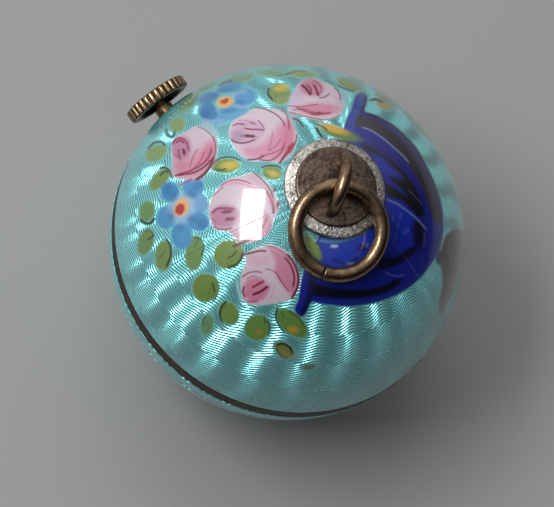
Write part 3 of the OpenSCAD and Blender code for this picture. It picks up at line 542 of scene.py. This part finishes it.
# Bowl: cobalt blue with a straight rim and dark flutes that fan out from its foot, with pale lights.
def bowl(w):
    cobalt, navy, black = (22, 34, 148), (20, 20, 92), (12, 10, 26)
    w.fill([(6.0, 11.75), (6.35, 11.3), (6.1, 10.35), (7.0, 9.95), (7.9, 9.35), (8.9, 8.55), (9.8, 7.7),
            (10.6, 6.6), (11.4, 5.1), (12.0, 3.4), (12.3, 1.6), (12.2, 0.2), (11.6, -1.3), (10.7, -2.6),
            (9.4, -3.75), (7.6, -4.6), (5.2, -5.1), (3.1, -4.95), (1.9, -4.8), (1.5, -5.6), (1.0, -5.95),
            (0.55, -5.3), (0.85, -4.5), (1.1, -3.0), (1.6, -1.0), (2.4, 0.4), (3.0, 3.0), (3.9, 6.4),
            (4.5, 9.2), (5.0, 10.4), (5.4, 11.55)], cobalt, 0.12)
    w.fill([(5.5, 11.5), (6.2, 11.4), (5.9, 10.2), (5.3, 8.8), (4.7, 9.0), (5.1, 10.3)], (32, 66, 158), 0.2,
           0.9)
    w.stroke([(6.15, 11.5), (6.1, 10.8), (5.75, 9.9), (5.45, 9.0)], 0.3, (22, 26, 78), 0.12, 0.9)
    w.fill([(5.5, 9.9), (6.3, 9.85), (7.4, 9.3), (8.7, 8.4), (9.9, 7.1), (11.0, 5.2), (11.7, 3.4),
            (11.95, 1.8), (11.5, 1.6), (11.0, 3.2), (10.2, 4.9), (9.1, 6.5), (7.9, 7.9), (6.6, 8.7),
            (5.5, 9.1)], (50, 44, 60), 0.14)
    w.stroke([(6.2, 10.1), (7.5, 9.6), (8.8, 8.7), (10.1, 7.3), (11.2, 5.2), (11.95, 3.2), (12.1, 1.4)],
             0.28, (24, 26, 66), 0.1)
    w.fill([(5.6, 8.5), (7.0, 8.0), (8.6, 6.7), (10.0, 5.0), (11.0, 3.0), (10.6, 2.9), (9.4, 4.7),
            (7.8, 6.4), (6.2, 7.6), (5.5, 7.9)], (28, 28, 128), 0.14)
    w.fill([(5.9, 7.8), (7.2, 7.1), (8.8, 5.9), (10.1, 4.2), (10.8, 2.3), (10.2, 2.2), (9.2, 3.9),
            (8.0, 5.0), (7.9, 5.6), (7.0, 6.5), (6.0, 7.3)], black, 0.14)
    w.dab(7.4, 6.0, 1.1, 0.5, -40, (30, 46, 158), 0.25)
    w.dab(8.4, 5.4, 0.6, 0.22, -35, (44, 62, 176), 0.25, 0.8)
    w.stroke([(5.85, 9.0), (6.6, 8.75), (7.5, 8.15), (8.4, 7.4), (9.1, 6.75), (9.6, 6.2)], 0.11,
             (146, 158, 186), 0.05, 0.8)
    w.fill([(7.7, 4.6), (8.6, 4.1), (9.6, 3.4), (10.4, 2.4), (10.2, 2.1), (9.0, 3.2), (8.0, 3.5)], black,
           0.14)
    w.fill([(7.8, 3.3), (8.8, 3.0), (9.8, 2.2), (10.3, 1.2), (10.2, 0.0), (9.4, -0.9), (8.0, -0.9),
            (7.7, 0.8)], (24, 44, 172), 0.25)
    for s, t in ((8.3, 1.9), (8.7, 1.2), (9.2, 0.8), (8.5, 0.4), (9.5, 0.9), (8.9, 2.0)):
        w.dab(s, t, 0.22, 0.08, 80, (70, 110, 214), 0.1, 0.55)
    w.dab(10.35, 0.7, 1.35, 0.5, 92, (14, 14, 52), 0.25)
    w.stroke([(7.75, 3.35), (8.6, 3.0), (9.6, 2.3), (10.4, 1.6), (10.95, 0.9)], 0.15, (112, 134, 186), 0.07,
             0.75)
    w.stroke([(9.5, 4.1), (10.1, 3.5), (10.6, 2.9)], 0.08, (80, 80, 120), 0.06, 0.8)
    w.stroke([(10.75, 0.8), (10.8, 0.2), (10.7, -0.4)], 0.08, (84, 84, 120), 0.06, 0.8)
    w.fill([(7.3, -1.4), (8.6, -1.1), (9.7, -0.4), (10.2, -0.2), (9.9, -1.0), (8.6, -1.9), (7.2, -2.1)],
           (12, 12, 50), 0.2)
    w.stroke([(7.6, -2.35), (8.5, -2.7), (9.2, -2.6)], 0.07, (110, 124, 190), 0.06, 0.6)
    w.fill([(2.0, -3.3), (3.6, -3.6), (5.5, -3.75), (7.3, -3.5), (8.6, -2.9), (9.0, -3.1), (7.8, -4.0),
            (5.5, -4.5), (3.2, -4.4), (2.0, -4.2)], (8, 8, 34), 0.2)
    w.stroke([(2.3, -4.75), (4.5, -4.85), (6.5, -4.65), (8.4, -4.0), (9.9, -3.0), (11.0, -1.8)], 0.3,
             (26, 48, 146), 0.14, 0.9)
    w.stroke([(1.75, -1.8), (1.9, -3.2), (1.6, -4.8), (1.15, -5.7)], 0.5, (12, 16, 62), 0.16, 0.9)
    w.fill([(2.6, 0.2), (4.2, 0.05), (5.6, 0.4), (6.7, 1.1), (6.9, 0.0), (6.2, -1.3), (4.8, -1.9),
            (3.2, -1.8), (2.8, -0.9)], (28, 58, 182), 0.2)
    w.stroke([(2.5, 0.1), (3.8, 0.0), (5.2, 0.35), (6.5, 1.0)], 0.24, (84, 148, 196), 0.12, 0.8)
    w.dab(3.7, -0.35, 0.28, 0.13, 8, (186, 212, 236), 0.08, 0.9)
    w.dab(6.2, -0.3, 0.18, 0.12, 60, (150, 170, 220), 0.1, 0.8)
    w.dab(5.9, -0.5, 0.5, 0.3, 40, (16, 24, 80), 0.2, 0.8)
    w.dab(4.9, -1.7, 0.35, 0.1, -8, (150, 176, 214), 0.09, 0.8)
    w.stroke([(3.6, -1.4), (4.6, -1.7), (5.6, -1.2)], 0.2, (14, 18, 70), 0.12, 0.8)
    w.fill([(11.6, -0.9), (12.1, -0.2), (12.5, 0.6), (12.9, 0.5), (12.6, -0.5), (12.2, -1.5), (11.8, -1.8)],
           (34, 78, 136), 0.15)
    w.fill([(11.95, -1.4), (12.25, -0.3), (12.75, 0.75), (13.4, 1.05), (13.95, 0.8), (14.1, -0.4),
            (13.9, -1.8), (13.4, -3.2), (12.8, -4.6), (12.1, -5.8), (11.95, -4.8), (12.2, -3.4),
            (12.15, -2.3)], (40, 40, 46), 0.14)
    w.stroke([(12.35, 0.3), (12.2, -0.2), (12.05, -0.7)], 0.13, (176, 172, 160), 0.06, 0.85)
    w.stroke([(12.05, -1.2), (12.4, -2.2), (12.6, -3.2), (12.75, -3.9)], 0.09, (124, 128, 122), 0.06, 0.8)
    w.stroke([(12.8, 0.3), (12.75, -0.6), (12.95, -1.6)], 0.08, (86, 122, 140), 0.06, 0.7)
    w.stroke([(12.9, -1.2), (12.7, -2.1)], 0.06, (140, 142, 130), 0.06, 0.7)


# The dome's glass itself, fused over the cover's shell and ending in a rounded, fired edge above the
# seam. The painted layers lie on it from the bowl behind to the roses in front.
def height_of(node, top):
    return (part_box(node)[1 if top else 0].z - centre.z) / mm


enamel_t = 0.35
metal_r = ball_r - enamel_t               # outside of the metal under the enamel
edge_z = height_of("cover_enamel", False)
top_deg = 15.5                            # the glass ends under the disc at the pole
low_deg = math.degrees(math.acos((edge_z + 0.08) / ball_r))
sectors, columns, rows = 3, 401, 226
seam_az = 100.0
outer = arc_points(ball_r, top_deg, low_deg, rows)
fired_edge = np.array([(outer[-1][0] - 0.012, edge_z + 0.035), (outer[-1][0] - 0.04, edge_z + 0.008),
                       (outer[-1][0] - 0.09, edge_z), (metal_r - 0.002, edge_z)])
under = arc_points(metal_r - 0.003, low_deg, top_deg, 8)
profile = np.vstack([outer, fired_edge, under])
for n in range(sectors):
    az = np.radians(seam_az + 360 / sectors * (n + np.linspace(0, 1, columns)))
    ring = np.stack([profile[:, None, 0] * np.cos(az), profile[:, None, 0] * np.sin(az),
                     np.repeat(profile[:, 1:], columns, 1)], -1)
    points = ring.reshape(-1, 3)
    faces = grid_faces(len(profile), columns, True, False)
    end = np.arange(len(profile)) * columns
    caps = [end[::-1][None], (end + columns - 1)[None]]
    piece = mesh_object(f"cover_enamel_{n + 1}", points, [faces] + caps, "cover_half", "enamel",
                        enamel, "cover_enamel")
    work = Painting(points)
    for layer_of in (bowl, leaves, forget_me_nots, rose_three, rose_two, rose_one, rose_four, rose_five):
        layer_of(work)
    layer = piece.data.color_attributes.new("paint", "FLOAT_COLOR", "POINT")
    layer.data.foreach_set("color", np.column_stack([work.colour, work.cover]).astype(np.float32).ravel())


# Band and bowl enamel: the same glass without flowers, fired on separately. The band carries a narrow
# strip of it between its bare edge and a fine bare line; the bowl is covered all over.
def turned(profile, columns, closed):
    az = np.linspace(0, 2 * math.pi, columns, endpoint=False)
    profile = np.asarray(profile, float)
    points = np.stack([profile[:, None, 0] * np.cos(az), profile[:, None, 0] * np.sin(az),
                       np.repeat(profile[:, 1:], columns, 1)], -1).reshape(-1, 3)
    faces = [grid_faces(len(profile), columns, closed, True)]
    if not closed:
        top = np.arange(columns)
        faces += [top[None], (top + (len(profile) - 1) * columns)[::-1][None]]
    return points, faces


def plain_glass(name, profile, closed, node):
    points, faces = turned(profile, 480, closed)
    piece = mesh_object(name, points, faces, "bowl_half", "enamel", enamel, node)
    layer = piece.data.color_attributes.new("paint", "FLOAT_COLOR", "POINT")
    layer.data.foreach_set("color", np.zeros(len(points) * 4, np.float32))


def polar(radius, height):
    return math.degrees(math.acos(height / radius))


soft_edge = 0.06
band_top, band_low = height_of("band_enamel", True), height_of("band_enamel", False)
bowl_top = height_of("bowl_enamel", True)
outside = arc_points(ball_r, polar(ball_r, band_top - soft_edge), polar(ball_r, band_low + soft_edge), 24)
inside = arc_points(metal_r, polar(metal_r, band_low), polar(metal_r, band_top), 4)
plain_glass("band_glass", np.vstack([outside, inside]), True, "band_enamel")
outside = arc_points(ball_r, polar(ball_r, bowl_top - soft_edge), 179.8, 130)
inside = arc_points(metal_r, 179.8, polar(metal_r, bowl_top), 30)
plain_glass("bowl_glass", np.vstack([inside, outside]), False, "bowl_enamel")


# Spun shells of the cover and the bowl, and the eye's backing: brass, fire-gilt inside and worn darker
# in patches. Bare metal here is a dark and a light tone, with a fine grain that also roughens it.
def metal(name, dark, light, patch, grain, rough, dent):
    m, tree, shader = new_material(name)
    place, axes = from_centre(tree)
    patches = noise(tree, place, patch, 4.0, 0.65)
    specks = noise(tree, place, grain, 3.0, 0.7)
    amount = math_node(tree, "MULTIPLY_ADD", math_node(tree, "ADD", patches, specks), 2.0, -1.5)
    colour = mix_colour(tree, amount, dark, light)
    tree.links.new(colour, shader.inputs["Base Color"])
    shader.inputs["Metallic"].default_value = 1.0
    tree.links.new(math_node(tree, "MULTIPLY_ADD", specks, -0.3, rough + 0.15), shader.inputs["Roughness"])
    bump = tree.nodes.new("ShaderNodeBump")
    bump.inputs["Distance"].default_value = dent * mm
    tree.links.new(specks, bump.inputs["Height"])
    tree.links.new(bump.outputs[0], shader.inputs["Normal"])
    return m, tree, shader, bump, colour, specks


def dress(material, *names):
    for name in names:
        for place_on in nodes[name].material_slots:
            place_on.material = material


gilt = metal("gilt_inside", (0.42, 0.28, 0.12), (0.86, 0.64, 0.32), 0.25, 1.6, 0.3, 0.012)[0]
dress(gilt, "cover_shell", "bowl_shell", "eye_backing")

# Cover's rim and the band: turned brass rings soldered to the shells, left bare and gone nearly black
# in the seam. The hinge's knuckles are short brass tubes soldered into both, flush with the enamel.
oxide = metal("blackened_brass", (0.016, 0.012, 0.010), (0.11, 0.062, 0.036), 0.9, 3.5, 0.42, 0.03)[0]
dress(oxide, "cover_rim", "band_ring")
dull = metal("dull_brass", (0.05, 0.034, 0.02), (0.26, 0.18, 0.10), 0.8, 3.0, 0.4, 0.02)[0]
dress(dull, "cover_knuckle", "band_knuckles")


# Disc at the pole: a silver plate set over the hole in the enamel, with solder run out round it.
# It is rough all over, bright in patches and dark where dirt stays.
def at_reach(reach, radius):
    return math.degrees(math.asin(reach / radius))


plate_top = ball_r + 0.35
disc_r = (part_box("boss_plate")[1].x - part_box("boss_plate")[0].x) / 2 / mm
seat_r = disc_r - 0.48
disc_edge = math.sqrt(plate_top ** 2 - disc_r ** 2)
plate_profile = np.vstack([
    arc_points(plate_top, 0.2, at_reach(disc_r - 0.1, plate_top), 40),
    [(disc_r - 0.03, disc_edge - 0.03), (disc_r, disc_edge - 0.11)],
    arc_points(ball_r + 0.01, at_reach(disc_r, ball_r), at_reach(seat_r, ball_r), 4),
    arc_points(metal_r, at_reach(seat_r, metal_r), 0.2, 8)])
rough_silver = metal("rough_silver", (0.10, 0.075, 0.06), (0.78, 0.76, 0.72), 0.8, 4.5, 0.32, 0.09)[0]
points, faces = turned(plate_profile, 240, False)
mesh_object("disc", points, faces, "cover_half", "disc_silver", rough_silver, "boss_plate")

# Cap on the disc: a thin, slightly domed plate turned on a lathe and soldered on top. It has gone
# brown with age, and the lathe's fine rings still show.
cap_top = height_of("boss_cap", True)
cap_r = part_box("boss_cap")[1].x / mm
dome_r = 16.0
across = np.linspace(0.05, cap_r - 0.08, 40)
cap_edge = cap_top - dome_r + math.sqrt(dome_r ** 2 - cap_r ** 2)
cap_profile = np.vstack([
    np.stack([across, cap_top - dome_r + np.sqrt(dome_r ** 2 - across ** 2)], 1),
    [(cap_r - 0.02, cap_edge - 0.03), (cap_r, cap_edge - 0.09)],
    arc_points(plate_top + 0.005, at_reach(cap_r, plate_top), 0.2, 8)])
brown_silver, tree, shader, bump, colour, specks = metal(
    "brown_silver", (0.04, 0.028, 0.022), (0.22, 0.165, 0.13), 0.9, 4.0, 0.4, 0.035)
place, (px, py, pz) = from_centre(tree)
out = out_from_pole(tree, px, py)
lathe_rings = math_node(tree, "SINE", math_node(tree, "MULTIPLY", out, 2 * math.pi / 0.42))
tree.links.new(math_node(tree, "MULTIPLY_ADD", lathe_rings, 0.12, specks), bump.inputs["Height"])
points, faces = turned(cap_profile, 240, False)
mesh_object("disc_cap", points, faces, "cover_half", "disc_silver", brown_silver, "boss_cap")


# Eye: one length of bronze wire bent to an arch. Its legs go through the cap, the disc and the dome,
# and are headed over on the backing inside.
def wire(path, normal, radii, sides, lean=0.0):
    tangent = np.gradient(path, axis=0)
    tangent /= np.linalg.norm(tangent, axis=1)[:, None]
    side = np.cross(normal, tangent)
    a = np.linspace(0, 2 * math.pi, sides, endpoint=False)
    radii = np.broadcast_to(radii, len(path))[:, None, None]
    away = radii * (np.cos(a)[:, None] * normal + np.sin(a)[:, None] * side[:, None, :])
    points = path[:, None, :] + away
    if lean:
        along = np.concatenate([[0], np.cumsum(np.linalg.norm(np.diff(path, axis=0), axis=1))])
        near_end = np.clip(1 - np.minimum(along, along[-1] - along) / 0.9, 0, 1)[:, None]
        points += (near_end * (away @ normal) * lean)[:, :, None] * tangent[:, None, :]
    first = np.arange(sides)
    last = first + (len(path) - 1) * sides
    return points.reshape(-1, 3), [grid_faces(len(path), sides, False, True), first[None], last[::-1][None]]


bronze = metal("aged_bronze", (0.085, 0.058, 0.040), (0.38, 0.25, 0.155), 0.55, 2.6, 0.3, 0.012)[0]
eye_wire = 0.5                            # half of its thickness
head_r, head = eye_wire + 0.3, 0.3        # each leg is headed over to this size
eye_low, eye_high = height_of("pendant_eye", False), height_of("pendant_eye", True)
reach_x, reach_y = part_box("pendant_eye")[1].x / mm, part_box("pendant_eye")[1].y / mm
eye_turn = math.atan2(reach_y - head_r, reach_x - head_r)
arch_r = math.hypot(reach_y - head_r, reach_x - head_r)
arch_z = eye_high - eye_wire - arch_r
bend = np.linspace(0, math.pi, 48)
along = np.concatenate([[arch_r] * 4, arch_r * np.cos(bend), [-arch_r] * 4])
rise = np.concatenate([[eye_low, eye_low + head, eye_low + head + 0.02, arch_z - 0.4],
                       arch_z + arch_r * np.sin(bend),
                       [arch_z - 0.4, eye_low + head + 0.02, eye_low + head, eye_low]])
thick = np.full(len(along), eye_wire)
thick[[0, 1, -2, -1]] = head_r
path = np.stack([along * math.cos(eye_turn), along * math.sin(eye_turn), rise], 1)
across_eye = np.array((math.sin(eye_turn), -math.cos(eye_turn), 0))
points, faces = wire(path, across_eye, thick, 32)
mesh_object("eye", points, faces, "cover_half", "aged_bronze", bronze, "pendant_eye")

# Jump ring: bronze wire coiled round a mandrel and sawn through, closed through the eye but not
# soldered, so that a fine slanting gap is left. It lies over to one side, against the enamel.
swing = joints["ring_swing"]["pos_m"]
in_eye = math.hypot(swing[0], swing[1]) / mm
ring_turn = math.atan2(swing[1], swing[0])
eye_z = (swing[2] - centre.z) / mm
ring_wire = 1.17 / 2                      # half of its thickness
ring_r = 7.96 / 2 - ring_wire             # to the middle of the wire
split_w, split_lean = 0.12, 12            # saw cut, and its lean in degrees
rest = ball_r + ring_wire + 0.04
pivot2 = in_eye ** 2 + eye_z ** 2
fall = (rest ** 2 - pivot2 - 4 * ring_r ** 2) / (4 * ring_r)
tilt = math.acos(fall / math.sqrt(pivot2)) - math.atan2(eye_z, in_eye)
split_at, split_half = math.radians(-17), split_w / 2 / ring_r
round_ring = split_at + np.linspace(split_half, 2 * math.pi - split_half, 220)
outward = np.array((math.cos(ring_turn) * math.cos(tilt), math.sin(ring_turn) * math.cos(tilt),
                    -math.sin(tilt)))
sideways = np.array((-math.sin(ring_turn), math.cos(ring_turn), 0))
hung_from = np.array((in_eye * math.cos(ring_turn), in_eye * math.sin(ring_turn), eye_z))
round_it = outward * (1 + np.cos(round_ring))[:, None] + sideways * np.sin(round_ring)[:, None]
path = hung_from + ring_r * round_it
points, faces = wire(path, np.cross(outward, sideways), ring_wire, 36,
                     lean=-math.tan(math.radians(split_lean)))
mesh_object("ring", points, faces, "pendant_ring", "aged_bronze", bronze, "jump_ring")

# Crown: a brass knob with milled flutes, hollow underneath. It turns on its stem, whose head is let
# into its face. Its colour is dark brown except on the ridges' outermost faces, which keep the brass tone.
crown_axis = np.array(joints["crown_turn"]["axis"])
crown_place = np.array(joints["crown_turn"]["pos_m"]) / mm - np.array(centre) / mm
side_1 = np.cross((0, 0, 1), crown_axis)
side_2 = np.cross(crown_axis, side_1)
knob_r, flutes, flute_r, flute_at = 2.65, 32, 0.1735, 2.71
knob_top, knob_dome = 1.27, 16
columns = flutes * 14
round_knob = np.linspace(0, 2 * math.pi, columns, endpoint=False)
off = (round_knob + math.pi / flutes) % (2 * math.pi / flutes) - math.pi / flutes
inside = flute_r ** 2 - (flute_at * np.sin(off)) ** 2
limit = np.where(inside > 0, flute_at * np.cos(off) - np.sqrt(np.maximum(inside, 0)), knob_r)
top_across = np.linspace(0.86, 2.42, 8)
knob_profile = np.vstack([
    [(0.46, 0.95), (0.74, 0.96), (0.745, 1.22), (0.80, 1.255)],
    np.stack([top_across, knob_top - knob_dome + np.sqrt(knob_dome ** 2 - top_across ** 2)], 1),
    [(2.50, 1.06), (2.57, 1.035), (2.62, 0.99), (knob_r, 0.92), (knob_r, 0.6), (knob_r, 0.28), (2.62, 0.21),
     (2.57, 0.17), (2.50, 0.15), (2.02, 0.15), (1.95, 0.2), (1.95, 0.5), (1.90, 0.55), (0.46, 0.55)]])
reach_out = np.minimum(knob_profile[:, :1], limit[None])
spokes = np.cos(round_knob)[:, None] * side_1 + np.sin(round_knob)[:, None] * side_2
points = crown_place + knob_profile[:, 1:, None] * crown_axis + reach_out[:, :, None] * spokes
knob_brass, tree, shader, bump, colour, specks = metal(
    "knob_brass", (0.16, 0.105, 0.055), (0.62, 0.44, 0.25), 0.9, 3.2, 0.26, 0.02)
place, axes = from_centre(tree)
from_axis = tree.nodes.new("ShaderNodeVectorMath")
from_axis.operation = "SUBTRACT"
from_axis.inputs[1].default_value = tuple(crown_place)
tree.links.new(place, from_axis.inputs[0])
across_axis = tree.nodes.new("ShaderNodeVectorMath")
across_axis.operation = "CROSS_PRODUCT"
across_axis.inputs[1].default_value = tuple(crown_axis)
tree.links.new(from_axis.outputs[0], across_axis.inputs[0])
gap = tree.nodes.new("ShaderNodeVectorMath")
gap.operation = "LENGTH"
tree.links.new(across_axis.outputs[0], gap.inputs[0])
ridge = tree.nodes.new("ShaderNodeMapRange")
ridge.interpolation_type = "SMOOTHSTEP"
for i, v in enumerate((knob_r - 0.10, knob_r - 0.015, 0.0, 1.0)):
    ridge.inputs[i + 1].default_value = v
tree.links.new(gap.outputs["Value"], ridge.inputs[0])
tree.links.new(mix_colour(tree, ridge.outputs[0], (0.045, 0.030, 0.016), colour),
               shader.inputs["Base Color"])
mesh_object("crown_knob_fluted", points.reshape(-1, 3), grid_faces(len(knob_profile), columns, True, True),
            "crown_knob", "crown_brass", knob_brass, "crown")

# Stem and its tube: dark brass, the tube soldered through the band. The clip that keeps the stem in,
# both flat springs, their screws and the hinge's pin are blued steel gone grey.
dark_brass = metal("dark_brass", (0.035, 0.022, 0.012), (0.28, 0.17, 0.085), 1.2, 3.0, 0.36, 0.02)[0]
dress(dark_brass, "stem_tube", "crown_stem")
steel = metal("spring_steel", (0.12, 0.115, 0.11), (0.44, 0.43, 0.42), 0.6, 3.0, 0.3, 0.008)[0]
dress(steel, "stem_clip", "lock_spring", "lift_spring", "spring_screws", "hinge_pin")

# Floor of grey paper, a tall window high at the left, a wide soft light from behind and a dim room,
# brighter toward that light. The camera looks down at the piece from 23 degrees off the pole.
floor_mesh = bpy.data.meshes.new("floor")
reach = 1.5
low = centre.z - ball_r * mm - 0.00005
floor_corners = [(-reach, -reach, low), (reach, -reach, low), (reach, reach, low), (-reach, reach, low)]
floor_mesh.from_pydata(floor_corners, [], [(0, 1, 2, 3)])
floor = bpy.data.objects.new("floor", floor_mesh)
bpy.context.scene.collection.objects.link(floor)
floor_material, tree, shader = new_material("floor_paper")
shader.inputs["Base Color"].default_value = (0.26, 0.26, 0.26, 1)
shader.inputs["Roughness"].default_value = 0.8
floor_mesh.materials.append(floor_material)

r_axis, u_axis, b_axis = Vector(right), Vector(up), Vector(back)


def soft_light(name, towards, width, height, energy, mirrored):
    towards = towards.normalized()
    light = bpy.data.lights.new(name, "AREA")
    light.shape = "RECTANGLE"
    light.size, light.size_y = width, height
    light.energy = energy
    upright = (u_axis - u_axis.dot(towards) * towards).normalized()
    lamp = bpy.data.objects.new(name, light)
    turn = Matrix((upright.cross(towards), upright, towards)).transposed().to_4x4()
    lamp.matrix_world = Matrix.Translation(centre + 0.6 * towards) @ turn
    lamp.visible_glossy = mirrored
    bpy.context.scene.collection.objects.link(lamp)


soft_light("window", -0.373 * r_axis + 0.293 * u_axis + 0.881 * b_axis, 0.15, 0.34, 2.5, True)
soft_light("high_softbox", -0.10 * r_axis + 0.84 * u_axis + 0.53 * b_axis, 0.50, 0.30, 1.1, False)

world = bpy.data.worlds.new("studio")
world.use_nodes = True
tree = world.node_tree
direction = tree.nodes.new("ShaderNodeTexCoord")
facing = tree.nodes.new("ShaderNodeVectorMath")
facing.operation = "DOT_PRODUCT"
facing.inputs[1].default_value = (-0.38 * r_axis + 0.80 * u_axis + 0.46 * b_axis).normalized()
tree.links.new(direction.outputs["Generated"], facing.inputs[0])
spread = tree.nodes.new("ShaderNodeMapRange")
spread.interpolation_type = "SMOOTHSTEP"
for i, v in enumerate((-0.25, 1.0, 0.015, 0.85)):
    spread.inputs[i + 1].default_value = v
tree.links.new(facing.outputs["Value"], spread.inputs[0])
sky = tree.nodes["Background"]
sky.inputs[0].default_value = (1.0, 0.995, 0.985, 1)
tree.links.new(spread.outputs[0], sky.inputs[1])
bpy.context.scene.world = world

camera = bpy.data.cameras.new("camera")
camera.lens, camera.sensor_width = 289.5, 36.0
camera.clip_start, camera.clip_end = 0.01, 10
camera_object = bpy.data.objects.new("camera", camera)
camera_place = centre - 0.000776 * r_axis - 0.000893 * u_axis + 0.350 * b_axis
camera_turn = Matrix((r_axis, u_axis, b_axis)).transposed().to_4x4()
camera_object.matrix_world = Matrix.Translation(camera_place) @ camera_turn
bpy.context.scene.collection.objects.link(camera_object)
bpy.context.scene.camera = camera_object
bpy.context.scene.view_settings.view_transform = "Standard"
